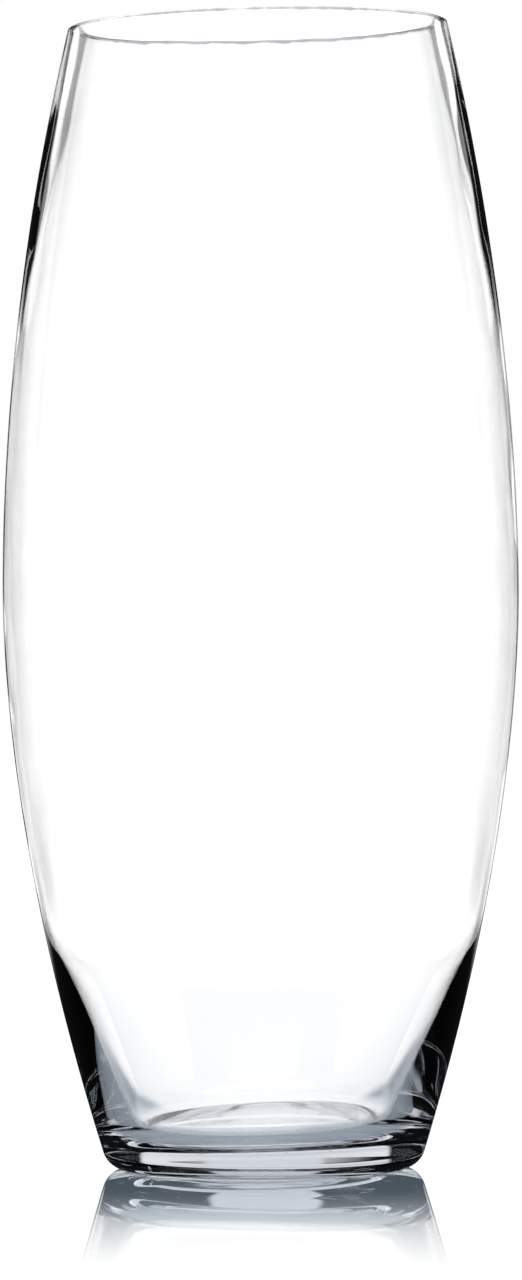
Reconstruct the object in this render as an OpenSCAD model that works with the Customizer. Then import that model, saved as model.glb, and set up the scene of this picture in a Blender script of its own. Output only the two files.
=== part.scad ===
// Tall barrel vase in clear glass: one thick-based vessel, open at the top.
// Origin at the centre of the standing surface, +Z up, millimetres.

/* [Outside] */
// Height from the standing surface to the rim
height = 355; // [300:1:420]
// Widest diameter, at the belly
belly_d = 160; // [140:1:190]
// Height of the belly as a share of the whole height
belly_share = 0.5; // [0.42:0.01:0.58]
// Outer diameter at the rim
mouth_d = 117.5; // [95:0.5:130]
// Outer diameter at the foot, before its heel is rounded
foot_d = 96.2; // [84:0.2:110]
// How late the side turns in above the belly (2 is a parabola)
shoulder_bend = 1.92; // [1.6:0.02:2.4]
// How late the side turns in below the belly
foot_bend = 1.76; // [1.6:0.02:2.4]

/* [Glass] */
// Wall thickness at the belly
belly_wall = 1.1; // [1:0.1:3]
// Wall thickness at the rim
rim_wall = 3.8; // [3:0.1:6]
// Share of the height at which the wall starts to thicken towards the rim
rim_wall_from = 0.72; // [0.6:0.02:0.8]
// Share of the height from which the wall has its full rim thickness
rim_wall_to = 0.95; // [0.85:0.05:1]
// Share of the height below which the wall thickens towards the foot
foot_wall_from = 0.19; // [0.16:0.01:0.26]
// Glass that the wall gains for each millimetre down to the foot
foot_wall_slope = 0.19; // [0.08:0.01:0.2]
// Height over which that thickening sets in
foot_wall_ease = 9; // [6:1:24]

/* [Base] */
// Glass under the middle of the inner floor, above the standing surface
base_thickness = 10; // [7:0.5:16]
// How far the inner floor rises from its middle to its edge
floor_dish = 1; // [0.5:0.1:2]
// Radius of the blend between the inner floor and the wall
floor_blend = 12; // [6:0.5:14]
// Radius of the rounded heel
heel_r = 7.5; // [4:0.5:9]
// Width of the flat ring that the vase stands on
ring_w = 9.5; // [6:0.5:14]
// How far the underside rises in its middle
kick_up = 1.2; // [0.6:0.1:2.5]

/* [Rim] */
// Radius of the fire-polished rim edges
rim_edge_r = 0.9; // [0.5:0.1:1.1]

/* [Hidden] */
belly_z = height * belly_share;
wall_steps = 34;
blend_steps = 8;
edge_steps = 5;
floor_steps = 6;
glass_colour = [0.80, 0.90, 0.91, 0.35];

function lerp(a, b, t) = a + (b - a) * t;
function ease(t) = let (u = min(1, max(0, t))) u * u * (3 - 2 * u);
function arc(c, r, a0, a1, n) = [for (i = [0:n]) let (a = lerp(a0, a1, i / n)) c + r * [cos(a), sin(a)]];

// Outer radius at height z, and the side's lean there in degrees, positive where it widens upwards
function end_r(z) = (z > belly_z ? mouth_d : foot_d) / 2;
function run(z) = z > belly_z ? (z - belly_z) / (height - belly_z) : (belly_z - z) / belly_z;
function bend(z) = z > belly_z ? shoulder_bend : foot_bend;
function outer_r(z) = belly_d / 2 - (belly_d / 2 - end_r(z)) * pow(run(z), bend(z));
function outer_lean(z) = atan(outer_r(z + 0.5) - outer_r(z - 0.5));

// Wall thickness, inner radius and the inner face's lean at height z
function rim_gain(z) = (rim_wall - belly_wall) * ease((z / height - rim_wall_from) / (rim_wall_to - rim_wall_from));
function foot_gain(z) = let (d = foot_wall_from * height - z)
    foot_wall_slope * (d + sqrt(d * d + foot_wall_ease * foot_wall_ease)) / 2;
function wall(z) = belly_wall + rim_gain(z) + foot_gain(z);
function inner_r(z) = outer_r(z) - wall(z);
function inner_lean(z) = atan(inner_r(z + 0.5) - inner_r(z - 0.5));

// Heel: an arc that leaves the standing surface flat and meets the side along its lean
heel_lean = outer_lean(heel_r * 0.7);
heel_top = heel_r * (1 - sin(heel_lean));
heel_c = [outer_r(heel_top) - heel_r * cos(heel_lean), heel_r];

// Rim: the outer and inner edge arcs, which meet the wall along its lean
rim_z = height - rim_edge_r;
rim_out_lean = -outer_lean(rim_z);
rim_out_z = rim_z + rim_edge_r * sin(rim_out_lean);
rim_out_c = [outer_r(rim_out_z) - rim_edge_r * cos(rim_out_lean), rim_z];
rim_in_lean = -inner_lean(rim_z);
rim_in_z = rim_z - rim_edge_r * sin(rim_in_lean);
rim_in_c = [inner_r(rim_in_z) + rim_edge_r * cos(rim_in_lean), rim_z];

// Inner corner: an arc from the dished floor's edge to the wall's inner face
blend_lean = inner_lean(base_thickness + floor_dish + floor_blend * 0.7);
blend_c_z = base_thickness + floor_dish + floor_blend;
blend_top = blend_c_z - floor_blend * sin(blend_lean);
blend_c = [inner_r(blend_top) - floor_blend * cos(blend_lean), blend_c_z];
ring_in_r = heel_c.x - ring_w;

// Profile of the glass, right half, anticlockwise from the middle of the underside
module glass_profile() {
    underside = [for (i = [0:floor_steps]) let (s = i / floor_steps) [ring_in_r * s, kick_up * (1 - s * s)]];
    heel = arc(heel_c, heel_r, -90, -heel_lean, blend_steps);
    side = [for (i = [1:wall_steps - 1]) let (z = lerp(heel_top, rim_out_z, i / wall_steps)) [outer_r(z), z]];
    rim = concat(
        arc(rim_out_c, rim_edge_r, rim_out_lean, 90, edge_steps),
        arc(rim_in_c, rim_edge_r, 90, 180 + rim_in_lean, edge_steps)
    );
    bore = [for (i = [1:wall_steps - 1]) let (z = lerp(rim_in_z, blend_top, i / wall_steps)) [inner_r(z), z]];
    corner = arc(blend_c, floor_blend, -blend_lean, -90, blend_steps);
    inner_floor = [for (i = [1:floor_steps]) let (s = 1 - i / floor_steps)
        [blend_c.x * s, base_thickness + floor_dish * s * s]];
    polygon(concat(underside, heel, side, rim, bore, corner, inner_floor));
}

// The whole vase is one piece of glass
module glass_vessel() {
    color(glass_colour)
        rotate_extrude($fn = 96)
            glass_profile();
}

glass_vessel();
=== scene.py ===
"""Tall barrel vase in clear blown glass, standing on a glossy pale table in a white studio."""
import math
import random

import bpy
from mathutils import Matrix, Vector, noise


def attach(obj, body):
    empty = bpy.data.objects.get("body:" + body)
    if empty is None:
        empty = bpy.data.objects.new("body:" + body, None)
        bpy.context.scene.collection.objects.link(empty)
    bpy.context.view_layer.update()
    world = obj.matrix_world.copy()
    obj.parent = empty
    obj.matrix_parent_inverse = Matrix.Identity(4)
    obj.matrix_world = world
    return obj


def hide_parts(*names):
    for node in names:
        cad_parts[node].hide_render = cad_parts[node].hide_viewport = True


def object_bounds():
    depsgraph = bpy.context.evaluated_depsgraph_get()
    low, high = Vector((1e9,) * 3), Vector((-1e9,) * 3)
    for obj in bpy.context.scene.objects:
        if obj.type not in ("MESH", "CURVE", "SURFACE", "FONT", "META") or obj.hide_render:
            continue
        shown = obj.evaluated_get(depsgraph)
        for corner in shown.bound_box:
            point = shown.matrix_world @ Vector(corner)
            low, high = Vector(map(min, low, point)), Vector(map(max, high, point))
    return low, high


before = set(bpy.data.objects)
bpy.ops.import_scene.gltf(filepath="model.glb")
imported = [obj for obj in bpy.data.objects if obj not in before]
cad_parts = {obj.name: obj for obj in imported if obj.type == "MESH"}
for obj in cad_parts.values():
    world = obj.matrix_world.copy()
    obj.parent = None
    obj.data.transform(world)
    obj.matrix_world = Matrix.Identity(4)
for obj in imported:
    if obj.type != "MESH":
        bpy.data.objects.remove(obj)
CAD_LO, CAD_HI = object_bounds()

# ---------------------------------------------------------------- the vase, in metres
MM = 0.001
NODE = "glass_vessel"
HEIGHT = CAD_HI.z
BELLY_R = CAD_HI.x
BELLY_Z = HEIGHT / 2
MOUTH_R = 58.75 * MM
FOOT_R = 48.1 * MM
SHOULDER_BEND = 1.92
FOOT_BEND = 1.76
BELLY_WALL = 1.1 * MM
RIM_WALL = 3.8 * MM
RIM_WALL_FROM, RIM_WALL_TO = 0.72, 0.95
FOOT_WALL_FROM = 0.19
FOOT_WALL_SLOPE = 0.19
FOOT_WALL_EASE = 9 * MM
BASE_THICKNESS = 10 * MM
FLOOR_DISH = 1 * MM
FLOOR_BLEND = 12 * MM
HEEL_R = 7.5 * MM
RING_W = 9.5 * MM
KICK_UP = 1.2 * MM
RIM_EDGE_R = 0.9 * MM
LEAN_AT = 0.7  # share of a corner's radius at which the wall's lean is taken

# How far blown glass departs from a body of revolution: its rim and inner floor both tilt along X
RIM_SLOPE = math.radians(1.0)
RIM_SLOPE_FROM, RIM_SLOPE_OVER = 0.8, 0.2
FLOOR_SLOPE = math.radians(1.6)
FLOOR_SLOPE_TOP, FLOOR_SLOPE_OVER = 50 * MM, 40 * MM

# Noise in the wall: its depth, how fine it is round the wall and up it, and where each face starts in it
WAVY_FROM, WAVY_OVER = 40 * MM, 110 * MM
WANDER, WANDER_ROUND, WANDER_UP, WANDER_START = 0.16 * MM, 1.6, 14, 3.0
RIPPLE_ROUND, RIPPLE_UP = 6.5, 60
RIPPLE_IN, RIPPLE_IN_START = 0.045 * MM, 11.0
RIPPLE_OUT, RIPPLE_OUT_START = 0.02 * MM, 29.0
INWARD, SWING = 0.6, 0.5  # the outer face wanders inwards only, so that it stays inside the CAD box

# Air bubbles trapped in the base: one large, the rest pin-prick seeds with heights and radii in mm
LARGE_BUBBLE, LARGE_BUBBLE_R = Vector((-33.0, -27.0, 4.4)) * MM, 0.55 * MM
SEEDS = 16
SEED_CHANCE = 5
SEED_SPREAD = 36 * MM
SEED_LOW, SEED_HIGH = 3.0, 7.0
SEED_SMALL, SEED_LARGE = 0.12, 0.28

# Mesh density
AROUND = 320
WALL_STEPS = 150
ARC_STEPS = 12
FLAT_STEPS = 12
LEDGE_STEPS = 4
BUBBLE_SIDES, BUBBLE_RINGS = 16, 10

# ---------------------------------------------------------------- the looks, in metres and degrees
GLASS_TINT = (0.55, 0.57, 0.605, 1)
GLASS_DENSITY = 20.0
GLASS_IOR = 1.5

# Painted shade on the rim: a darker, uneven band at the top, full on the inner face and faint on the outer
# one
RIM_PAINTED_SHADE = (0.20, 0.23, 0.26, 1)
RIM_BAND_LOW, RIM_BAND_HIGH = -1.5 * MM, -0.8 * MM
RIM_UNEVEN, RIM_SHADE_NOISE_SCALE, RIM_DETAIL = 0.9 * MM, 160.0, 4.0
RIM_INNER, RIM_OUTER = MOUTH_R - 2.6 * MM, MOUTH_R - 1.8 * MM
OUTER_PAINTED_SHADE = 0.15

# The table straight from the camera: white, with a mirror that grows at low angles and fades with distance
TABLE_HALF = 40.0
TABLE_DROP = 0.02 * MM
# Painted tint: blue-grey in the painted shade seen through glass, and bluish in the glow where the table
# mirrors near the vase
SHADE_AND_SHEEN_TINT = (0.55, 0.78, 1.0, 1)
TABLE_WHITE = 1.06
POLISH = 0.02
SHEEN_BEND, SHEEN_GAIN, SHEEN_MOST = 4.0, 1.37, 0.96
SHEEN_NEAR, SHEEN_FAR = 0.08, 0.36
TINT_BEND = 4.0

# The table through glass: painted light, but for a painted shade under and round the foot that is left open
# towards +Y
LIT_TABLE = 1.36
SHADED_TABLE = 0.52
SHADE_TINT = 0.5
TABLE_MIRROR, TABLE_MIRROR_FROM, TABLE_MIRROR_TO = 0.65, 0.2, 0.8
FOOT_FROM, FOOT_TO = 0.045, 0.06
SHADE_FROM, SHADE_TO = 0.075, 0.13
BENEATH_HALF, BENEATH_SOFT = 84, 8
BEHIND_HALF, BEHIND_SOFT = 48, 6

# Mirrored by the glass's outer face, the table is painted dark near the vase. Further off it looks like the
# world, so that no horizon shows between them
HORIZON_FROM, HORIZON_TO = 0.5, 1.2

# The strip: a low ring that starts as bright as the table, brightens and fades out at its top
STRIP_SIDES = 96
STRIP_R = 0.25
STRIP_HALF = 28.0
STRIP_LIGHT = 1.8
STRIP_LOW, STRIP_FULL, STRIP_FADE, STRIP_TOP = 0.002, 0.035, 0.05, 0.085

# The world: windows, wings and the overhead light that bent rays meet, and the dark gaps in the white that
# mirrored rays meet, with one half-angle low down and another above
WINDOW_LIGHT = 1.42
GAP_LIGHT = 0.01
WINDOW_HALF = 14.5
WINDOW_SOFT = 1.5
LOW_WINDOW_END = 3, 6
WING_FROM, WING_TO = 25.0, 36.0
WING_START, WING_END = (6, 8), (15, 17)
OVERHEAD_START = 59, 67
LOW_GAP_HALF, HIGH_GAP_HALF = 15.0, 33.0
LOW_GAP_END = 4.3, 5.8

CAMERA_DISTANCE = 1.95
CAMERA_HEIGHT = 163.5 * MM
CAMERA_LENS = 177.0
CAMERA_SENSOR = 36.0
CAMERA_ROLL = math.radians(0.33)
MOST_BOUNCES, MOST_MIRRORINGS = 24, 12


# ---------------------------------------------------------------- the glass outline
def lerp(a, b, t):
    return a + (b - a) * t


def ease(t):
    u = min(1.0, max(0.0, t))
    return u * u * (3 - 2 * u)


def outer_r(z):
    if z > BELLY_Z:
        return BELLY_R - (BELLY_R - MOUTH_R) * ((z - BELLY_Z) / (HEIGHT - BELLY_Z)) ** SHOULDER_BEND
    return BELLY_R - (BELLY_R - FOOT_R) * ((BELLY_Z - z) / BELLY_Z) ** FOOT_BEND


def wall(z):
    to_rim = ease((z / HEIGHT - RIM_WALL_FROM) / (RIM_WALL_TO - RIM_WALL_FROM))
    d = FOOT_WALL_FROM * HEIGHT - z
    to_foot = FOOT_WALL_SLOPE * (d + math.hypot(d, FOOT_WALL_EASE)) / 2
    return BELLY_WALL + (RIM_WALL - BELLY_WALL) * to_rim + to_foot


def inner_r(z):
    return outer_r(z) - wall(z)


def lean(radius_at, z):
    """The wall's lean at height z in radians, positive where it widens upwards."""
    step = 0.5 * MM
    return math.atan2(radius_at(z + step) - radius_at(z - step), 2 * step)


def arc(centre, radius, start, end):
    """Points (r, z) along an arc, both ends included."""
    turns = [lerp(start, end, i / ARC_STEPS) for i in range(ARC_STEPS + 1)]
    return [(centre[0] + radius * math.cos(a), centre[1] + radius * math.sin(a)) for a in turns]


def between(a, b, steps):
    """Evenly spaced values strictly between a and b."""
    return [lerp(a, b, i / steps) for i in range(1, steps)]


def vessel_profile():
    """The glass outline (r, z) in two runs: the middle of the underside to the rim's outer edge, and on from
    there to the middle of the inner floor."""
    heel_lean = lean(outer_r, HEEL_R * LEAN_AT)
    heel_top = HEEL_R * (1 - math.sin(heel_lean))
    heel_c = (outer_r(heel_top) - HEEL_R * math.cos(heel_lean), HEEL_R)
    ring_in = heel_c[0] - RING_W

    edge_z = HEIGHT - RIM_EDGE_R
    out_lean, in_lean = -lean(outer_r, edge_z), -lean(inner_r, edge_z)
    out_z = edge_z + RIM_EDGE_R * math.sin(out_lean)
    in_z = edge_z - RIM_EDGE_R * math.sin(in_lean)
    out_c = (outer_r(out_z) - RIM_EDGE_R * math.cos(out_lean), edge_z)
    in_c = (inner_r(in_z) + RIM_EDGE_R * math.cos(in_lean), edge_z)

    blend_z = BASE_THICKNESS + FLOOR_DISH + FLOOR_BLEND
    blend_lean = lean(inner_r, BASE_THICKNESS + FLOOR_DISH + FLOOR_BLEND * LEAN_AT)
    blend_top = blend_z - FLOOR_BLEND * math.sin(blend_lean)
    blend_c = (inner_r(blend_top) - FLOOR_BLEND * math.cos(blend_lean), blend_z)

    shares = [i / FLAT_STEPS for i in range(FLAT_STEPS + 1)]
    underside = [(ring_in * s, KICK_UP * (1 - s * s)) for s in shares]
    ring = [(r, 0.0) for r in between(ring_in, heel_c[0], LEDGE_STEPS)]
    heel = arc(heel_c, HEEL_R, -math.pi / 2, -heel_lean)
    side = [(outer_r(z), z) for z in between(heel_top, out_z, WALL_STEPS)]
    rim_out = arc(out_c, RIM_EDGE_R, out_lean, math.pi / 2)
    rim_top = [(r, HEIGHT) for r in between(out_c[0], in_c[0], LEDGE_STEPS)]
    rim_in = arc(in_c, RIM_EDGE_R, math.pi / 2, math.pi + in_lean)
    bore = [(inner_r(z), z) for z in between(in_z, blend_top, WALL_STEPS)]
    corner = arc(blend_c, FLOOR_BLEND, -blend_lean, -math.pi / 2)
    inner_floor = [(blend_c[0] * (1 - s), BASE_THICKNESS + FLOOR_DISH * (1 - s) ** 2) for s in shares[1:]]
    return underside + ring + heel + side + rim_out, rim_top + rim_in + bore + corner + inner_floor


# ---------------------------------------------------------------- the glass mesh
def waviness(angle, z):
    """The slow wander of blown glass, from -1 to 1, in long lobes that both faces share."""
    across = math.cos(angle) * WANDER_ROUND, math.sin(angle) * WANDER_ROUND
    return noise.noise(Vector((*across, z * WANDER_UP + WANDER_START)))


def ripple(angle, z, start):
    """The finer ripple of blown glass, from -1 to 1, a little longer up the wall than round it."""
    across = math.cos(angle) * RIPPLE_ROUND, math.sin(angle) * RIPPLE_ROUND
    return noise.noise(Vector((*across, z * RIPPLE_UP + start)))


def blown(point, angle, inside):
    """Moves one point of the true body of revolution to where blown glass has it."""
    r, z = point
    on_wall = ease((z - WAVY_FROM) / WAVY_OVER)
    if inside:
        r += on_wall * (WANDER * waviness(angle, z) + RIPPLE_IN * ripple(angle, z, RIPPLE_IN_START))
    else:
        inward = WANDER * (INWARD + SWING * waviness(angle, z))
        r -= on_wall * (inward + RIPPLE_OUT * ripple(angle, z, RIPPLE_OUT_START))
    x, y = r * math.cos(angle), r * math.sin(angle)
    drop = math.tan(RIM_SLOPE) * (MOUTH_R - x) * ease((z / HEIGHT - RIM_SLOPE_FROM) / RIM_SLOPE_OVER)
    rise = 0.0
    if inside:
        rise = math.tan(FLOOR_SLOPE) * x * ease((FLOOR_SLOPE_TOP - z) / FLOOR_SLOPE_OVER)
    return x, y, z - drop + rise


def seed_bubbles():
    """Centres and radii of the bubbles in the base."""
    chance = random.Random(SEED_CHANCE)
    bubbles = [(LARGE_BUBBLE, LARGE_BUBBLE_R)]
    for _ in range(SEEDS):
        turn, r = chance.uniform(0, 2 * math.pi), SEED_SPREAD * math.sqrt(chance.random())
        centre = Vector((r * math.cos(turn), r * math.sin(turn), chance.uniform(SEED_LOW, SEED_HIGH) * MM))
        bubbles.append((centre, chance.uniform(SEED_SMALL, SEED_LARGE) * MM))
    return bubbles


def add_bubble(verts, faces, centre, radius):
    """Adds one closed void. Its faces look inwards, since the glass is outside it."""
    first = len(verts)
    verts.append(tuple(centre + Vector((0, 0, -radius))))
    for i in range(1, BUBBLE_RINGS):
        tilt = math.pi * i / BUBBLE_RINGS - math.pi / 2
        for k in range(BUBBLE_SIDES):
            turn = 2 * math.pi * k / BUBBLE_SIDES
            way = Vector((math.cos(tilt) * math.cos(turn), math.cos(tilt) * math.sin(turn), math.sin(tilt)))
            verts.append(tuple(centre + way * radius))
    verts.append(tuple(centre + Vector((0, 0, radius))))
    last = len(verts) - 1
    top = last - BUBBLE_SIDES
    for k in range(BUBBLE_SIDES):
        n = (k + 1) % BUBBLE_SIDES
        faces.append((first, first + 1 + k, first + 1 + n))
        faces.append((last, top + n, top + k))
        for i in range(BUBBLE_RINGS - 2):
            low = first + 1 + i * BUBBLE_SIDES
            faces.append((low + k, low + BUBBLE_SIDES + k, low + BUBBLE_SIDES + n, low + n))


def new_mesh(name, verts, faces):
    mesh = bpy.data.meshes.new(name)
    mesh.from_pydata(verts, [], faces)
    return mesh


def vessel_mesh():
    """The whole glass: rings of points round the axis, closed by a point at each end, and the bubbles."""
    outside, inside = vessel_profile()
    rings = [(p, False) for p in outside[1:]] + [(p, True) for p in inside[:-1]]
    angles = [2 * math.pi * k / AROUND for k in range(AROUND)]
    verts = [blown(p, a, is_in) for p, is_in in rings for a in angles]
    low = len(verts)
    verts.append((0.0, 0.0, outside[0][1]))
    verts.append((0.0, 0.0, inside[-1][1]))
    faces = []
    for i in range(len(rings) - 1):
        for k in range(AROUND):
            a, b = i * AROUND + k, i * AROUND + (k + 1) % AROUND
            faces.append((a, b, b + AROUND, a + AROUND))
    last = (len(rings) - 1) * AROUND
    for k in range(AROUND):
        n = (k + 1) % AROUND
        faces.append((low, n, k))
        faces.append((low + 1, last + k, last + n))
    for centre, radius in seed_bubbles():
        add_bubble(verts, faces, centre, radius)
    mesh = new_mesh("vessel", verts, faces)
    mesh.validate()
    for polygon in mesh.polygons:
        polygon.use_smooth = True
    return mesh


# ---------------------------------------------------------------- node helpers
def maths(tree, operation, *values):
    """Adds a Math node. Each value is a number or another node's output."""
    node = tree.nodes.new("ShaderNodeMath")
    node.operation = operation
    for socket, value in zip(node.inputs, values):
        if isinstance(value, (int, float)):
            socket.default_value = value
        else:
            tree.links.new(value, socket)
    return node.outputs[0]


def ramp(tree, value, start, end, low=0.0, high=1.0):
    """Adds a smooth change from low, where value is at most start, to high, where it is at least end."""
    node = tree.nodes.new("ShaderNodeMapRange")
    node.interpolation_type = "SMOOTHSTEP"
    tree.links.new(value, node.inputs["Value"])
    node.inputs["From Min"].default_value = start
    node.inputs["From Max"].default_value = end
    node.inputs["To Min"].default_value = low
    node.inputs["To Max"].default_value = high
    return node.outputs["Result"]


def choose(tree, switch, off, on):
    """Adds off where switch is 0 and on where it is 1."""
    kept = maths(tree, "MULTIPLY", maths(tree, "SUBTRACT", 1.0, switch), off)
    return maths(tree, "MULTIPLY_ADD", switch, on, kept)


def from_gap(tree, lit, brightness):
    """Adds a gap's darkness where lit is 0 and the given brightness where it is 1."""
    return maths(tree, "MULTIPLY_ADD", lit, brightness - GAP_LIGHT, GAP_LIGHT)


def coordinates(tree, kind):
    return tree.nodes.new("ShaderNodeTexCoord").outputs[kind]


def noise_value(tree, scale, detail):
    """Adds a noise field over the object, from 0 to 1; scale counts its features per metre."""
    node = tree.nodes.new("ShaderNodeTexNoise")
    tree.links.new(coordinates(tree, "Object"), node.inputs["Vector"])
    node.inputs["Scale"].default_value = scale
    node.inputs["Detail"].default_value = detail
    return node.outputs["Fac"]


def parts_of(tree, vector):
    split = tree.nodes.new("ShaderNodeSeparateXYZ")
    tree.links.new(vector, split.inputs[0])
    return split.outputs


def from_axis(tree, x, y):
    """Adds the distance from the vase's axis, kept above nought because others divide by it."""
    squares = maths(tree, "ADD", maths(tree, "POWER", x, 2.0), maths(tree, "POWER", y, 2.0))
    return maths(tree, "MAXIMUM", maths(tree, "SQRT", squares), 0.0001)


def polar(tree, vector):
    """Distance from the vase's axis, height, and how well the bearing lines up with +Y and with the
    nearest of the four axes, as cosines."""
    x, y, z = parts_of(tree, vector)
    across = from_axis(tree, x, y)
    larger = maths(tree, "MAXIMUM", maths(tree, "ABSOLUTE", x), maths(tree, "ABSOLUTE", y))
    return across, z, maths(tree, "DIVIDE", y, across), maths(tree, "DIVIDE", larger, across)


def within(tree, cosine, degrees, soft, low=0.0, high=1.0):
    """Adds high inside an angle of the given degrees and low outside it, with a soft edge."""
    wide, narrow = math.cos(math.radians(degrees + soft)), math.cos(math.radians(degrees - soft))
    return ramp(tree, cosine, wide, narrow, low, high)


def outside(tree, cosine, degrees):
    """Adds 1 outside an angle of the given degrees and 0 inside it."""
    return within(tree, cosine, degrees, WINDOW_SOFT, 1.0, 0.0)


def rising(tree, sine, start, end, low=0.0, high=1.0):
    """Adds a smooth change from low to high between two elevations in degrees."""
    return ramp(tree, sine, math.sin(math.radians(start)), math.sin(math.radians(end)), low, high)


def light_path(tree):
    """Whether a ray comes straight from the camera, and whether it has been through glass."""
    path = tree.nodes.new("ShaderNodeLightPath")
    return path.outputs["Is Camera Ray"], maths(tree, "MINIMUM", path.outputs["Transmission Depth"], 1.0)


def mixed_colour(tree, share, first, second):
    """Adds a mix of two fixed colours: first where share is 0, second where it is 1."""
    node = tree.nodes.new("ShaderNodeMix")
    node.data_type = "RGBA"
    tree.links.new(share, node.inputs["Factor"])
    node.inputs["A"].default_value = first
    node.inputs["B"].default_value = second
    return node.outputs["Result"]


def self_lit(name):
    """Adds a material without its default shader. Returns it, its node tree and a glow to link up."""
    mat = bpy.data.materials.new(name)
    mat.use_nodes = True
    tree = mat.node_tree
    tree.nodes.remove(tree.nodes["Principled BSDF"])
    return mat, tree, tree.nodes.new("ShaderNodeEmission")


# ---------------------------------------------------------------- materials
def glass_material():
    """Clear glass that absorbs through its depth, with a painted shade, darker and uneven, on the inner edge
    of the rim.
    """
    mat = bpy.data.materials.new("clear_glass")
    mat.use_nodes = True
    tree = mat.node_tree
    shader = tree.nodes["Principled BSDF"]
    x, y, z = parts_of(tree, coordinates(tree, "Object"))
    slope = math.tan(RIM_SLOPE)
    below_rim = maths(tree, "ADD", z, maths(tree, "MULTIPLY_ADD", x, -slope, slope * MOUTH_R - HEIGHT))
    shade_noise = noise_value(tree, RIM_SHADE_NOISE_SCALE, RIM_DETAIL)
    uneven = maths(tree, "MULTIPLY_ADD", shade_noise, 2 * RIM_UNEVEN, -RIM_UNEVEN)
    edge = ramp(tree, maths(tree, "ADD", below_rim, uneven), RIM_BAND_LOW, RIM_BAND_HIGH)
    inner = ramp(tree, from_axis(tree, x, y), RIM_INNER, RIM_OUTER, 1.0, OUTER_PAINTED_SHADE)
    # Painted shade: the darker band mixed into the glass's colour at the rim
    rim = maths(tree, "MULTIPLY", edge, inner)
    tree.links.new(mixed_colour(tree, rim, (1, 1, 1, 1), RIM_PAINTED_SHADE), shader.inputs["Base Color"])
    shader.inputs["Transmission Weight"].default_value = 1.0
    shader.inputs["IOR"].default_value = GLASS_IOR
    shader.inputs["Roughness"].default_value = 0.0
    depth = tree.nodes.new("ShaderNodeVolumeAbsorption")
    depth.inputs["Color"].default_value = GLASS_TINT
    depth.inputs["Density"].default_value = GLASS_DENSITY
    tree.links.new(depth.outputs[0], tree.nodes["Material Output"].inputs["Volume"])
    return mat


def floor_material():
    """A polished pale table. Straight from the camera it is white, and near the vase it mirrors at a low
    angle. Through glass it glows with painted light, but for a painted shade under and round the foot that is
    left open towards +Y. Mirrored by the glass's outer face it is painted dark near the vase and looks like
    the world further off."""
    mat, tree, glow = self_lit("table_top")
    from_camera, glazed = light_path(tree)
    r, _, ahead, aligned = polar(tree, coordinates(tree, "Object"))

    facing = tree.nodes.new("ShaderNodeLayerWeight").outputs["Facing"]
    low_angle = maths(tree, "MULTIPLY", maths(tree, "POWER", facing, SHEEN_BEND), SHEEN_GAIN)
    near = ramp(tree, r, SHEEN_NEAR, SHEEN_FAR, 1.0, 0.0)
    sheen = maths(tree, "MINIMUM", maths(tree, "MULTIPLY", low_angle, near), SHEEN_MOST)
    fresnel = tree.nodes.new("ShaderNodeFresnel")
    fresnel.inputs["IOR"].default_value = GLASS_IOR
    growing = ramp(tree, r, TABLE_MIRROR_FROM, TABLE_MIRROR_TO, TABLE_MIRROR, 1.0)
    seen_mirror = maths(tree, "MULTIPLY", fresnel.outputs[0], growing)
    share = choose(tree, from_camera, maths(tree, "MULTIPLY", seen_mirror, glazed), sheen)

    # Painted shade round the foot, seen only through glass: a fixed pattern on the table, not a cast shadow
    beside = ramp(tree, r, SHADE_FROM, SHADE_TO, SHADED_TABLE, LIT_TABLE)
    behind = within(tree, ahead, BEHIND_HALF, BEHIND_SOFT, SHADED_TABLE, LIT_TABLE)
    beneath = within(tree, ahead, BENEATH_HALF, BENEATH_SOFT, SHADED_TABLE, LIT_TABLE)
    round_foot = choose(tree, ramp(tree, r, FOOT_FROM, FOOT_TO), beneath, behind)
    shade = maths(tree, "MAXIMUM", beside, round_foot)
    matt = maths(tree, "MULTIPLY", shade, maths(tree, "SUBTRACT", 1.0, fresnel.outputs[0]))
    # Painted dark: the table as the glass's outer face mirrors it, dark near the vase
    far_off = ramp(tree, r, HORIZON_FROM, HORIZON_TO)
    far_off = maths(tree, "MULTIPLY", far_off, outside(tree, aligned, LOW_GAP_HALF))
    bent = choose(tree, glazed, from_gap(tree, far_off, 1.0), matt)
    direct = maths(tree, "SUBTRACT", TABLE_WHITE, sheen)
    tree.links.new(choose(tree, from_camera, bent, direct), glow.inputs["Strength"])
    # Painted tint: the painted shade turns blue-grey through glass; straight from the camera the glow turns
    # bluish where the table mirrors
    dim = ramp(tree, shade, SHADED_TABLE, LIT_TABLE, SHADE_TINT, 0.0)
    tinted = choose(tree, from_camera, dim, maths(tree, "POWER", sheen, TINT_BEND))
    tree.links.new(mixed_colour(tree, tinted, (1, 1, 1, 1), SHADE_AND_SHEEN_TINT), glow.inputs["Color"])

    polish = tree.nodes.new("ShaderNodeBsdfGlossy")
    polish.inputs["Roughness"].default_value = POLISH
    shared = tree.nodes.new("ShaderNodeCombineColor")
    for socket in shared.inputs:
        tree.links.new(share, socket)
    tree.links.new(shared.outputs[0], polish.inputs["Color"])
    both = tree.nodes.new("ShaderNodeAddShader")
    tree.links.new(glow.outputs[0], both.inputs[0])
    tree.links.new(polish.outputs[0], both.inputs[1])
    tree.links.new(both.outputs[0], tree.nodes["Material Output"].inputs["Surface"])
    return mat


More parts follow.
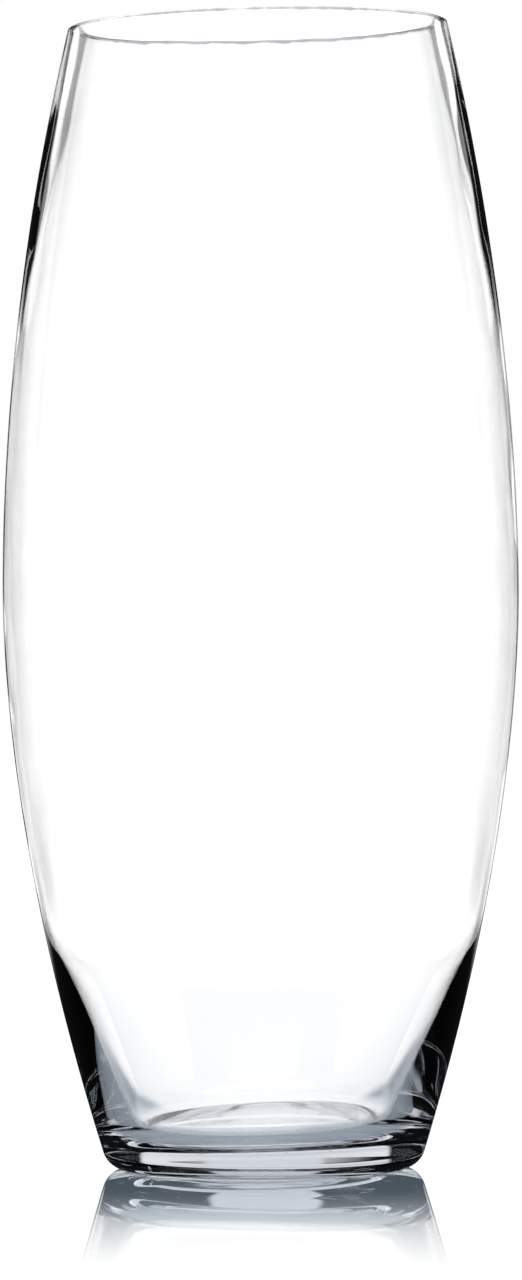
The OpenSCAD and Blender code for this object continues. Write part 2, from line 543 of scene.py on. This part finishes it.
def screen_material():
    """White light for rays that have been through glass, near each axis. All other rays pass through it."""
    mat, tree, glow = self_lit("screen")
    _, glazed = light_path(tree)
    _, z, _, aligned = polar(tree, coordinates(tree, "Object"))
    seen = maths(tree, "MULTIPLY", within(tree, aligned, STRIP_HALF, WINDOW_SOFT), glazed)
    seen = maths(tree, "MULTIPLY", seen, ramp(tree, z, STRIP_FADE, STRIP_TOP, 1.0, 0.0))
    tree.links.new(ramp(tree, z, STRIP_LOW, STRIP_FULL, LIT_TABLE, STRIP_LIGHT), glow.inputs["Strength"])
    mix = tree.nodes.new("ShaderNodeMixShader")
    tree.links.new(seen, mix.inputs[0])
    tree.links.new(tree.nodes.new("ShaderNodeBsdfTransparent").outputs[0], mix.inputs[1])
    tree.links.new(glow.outputs[0], mix.inputs[2])
    tree.links.new(mix.outputs[0], tree.nodes["Material Output"].inputs["Surface"])
    return mat


# ---------------------------------------------------------------- the studio
def place(name, data):
    """Adds an object for the data and links it to the scene."""
    item = bpy.data.objects.new(name, data)
    bpy.context.scene.collection.objects.link(item)
    return item


def add_floor():
    half = TABLE_HALF
    corners = [(-half, -half, 0), (half, -half, 0), (half, half, 0), (-half, half, 0)]
    floor = place("table_top", new_mesh("table_top", corners, [(0, 1, 2, 3)]))
    floor.location.z = CAD_LO.z - TABLE_DROP
    floor.data.materials.append(floor_material())


def add_screen():
    """A low strip round the vase, seen only through glass: it lights the thick foot."""
    n = STRIP_SIDES
    angles = [2 * math.pi * k / n for k in range(n)]
    rim = [(STRIP_R * math.cos(a), STRIP_R * math.sin(a)) for a in angles]
    verts = [(x, y, z) for z in (STRIP_LOW, STRIP_TOP) for x, y in rim]
    faces = [(k, (k + 1) % n, n + (k + 1) % n, n + k) for k in range(n)]
    screen = place("screen", new_mesh("screen", verts, faces))
    screen.visible_camera = False
    screen.data.materials.append(screen_material())


def add_world():
    """A white studio. Rays bent by the glass meet a tall soft window ahead (+Y), low ones on the other
    axes, two low wings beside the tall one, a light overhead, and darkness between. Rays mirrored sharply
    by its outer face meet white with a dark gap on each axis, which is wider from about 5 degrees up."""
    world = bpy.data.worlds.new("studio")
    bpy.context.scene.world = world
    world.use_nodes = True
    tree = world.node_tree
    from_camera, glazed = light_path(tree)
    _, z, ahead, aligned = polar(tree, coordinates(tree, "Generated"))

    low = rising(tree, z, *LOW_WINDOW_END, 1.0, 0.0)
    beside = maths(tree, "MULTIPLY", within(tree, aligned, WINDOW_HALF, WINDOW_SOFT), low)
    wings = maths(tree, "MULTIPLY", rising(tree, z, *WING_START), rising(tree, z, *WING_END, 1.0, 0.0))
    wings = maths(tree, "MULTIPLY", wings, outside(tree, ahead, WING_FROM))
    wings = maths(tree, "MULTIPLY", wings, within(tree, ahead, WING_TO, WINDOW_SOFT))
    overhead = rising(tree, z, *OVERHEAD_START)
    lit = maths(tree, "MAXIMUM", within(tree, ahead, WINDOW_HALF, WINDOW_SOFT), beside)
    lit = maths(tree, "MAXIMUM", lit, maths(tree, "MAXIMUM", wings, overhead))

    low = rising(tree, z, *LOW_GAP_END, 1.0, 0.0)
    clear_low = maths(tree, "MULTIPLY", outside(tree, aligned, LOW_GAP_HALF), low)
    clear = maths(tree, "MAXIMUM", clear_low, outside(tree, aligned, HIGH_GAP_HALF))
    sharp = tree.nodes.new("ShaderNodeLightPath").outputs["Is Singular Ray"]
    mirrored = choose(tree, sharp, 1.0, from_gap(tree, clear, 1.0))
    unbent = choose(tree, from_camera, mirrored, 1.0)
    bent = from_gap(tree, lit, WINDOW_LIGHT)
    tree.links.new(choose(tree, glazed, unbent, bent), tree.nodes["Background"].inputs["Strength"])
    tree.nodes["Background"].inputs["Color"].default_value = (1, 1, 1, 1)


def add_camera():
    data = bpy.data.cameras.new("camera")
    data.lens = CAMERA_LENS
    data.sensor_width = CAMERA_SENSOR
    camera = place("camera", data)
    camera.location = (0, -CAMERA_DISTANCE, CAMERA_HEIGHT)
    camera.rotation_euler = (math.pi / 2, CAMERA_ROLL, 0)
    bpy.context.scene.camera = camera


# ---------------------------------------------------------------- build
add_camera()
vessel = place("vessel", vessel_mesh())
vessel.data.materials.append(glass_material())
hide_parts(NODE)
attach(vessel, "root")
add_floor()
add_screen()
add_world()
scene = bpy.context.scene
scene.view_settings.view_transform = "Standard"
scene.cycles.max_bounces = MOST_BOUNCES
scene.cycles.transmission_bounces = MOST_BOUNCES
scene.cycles.glossy_bounces = MOST_MIRRORINGS
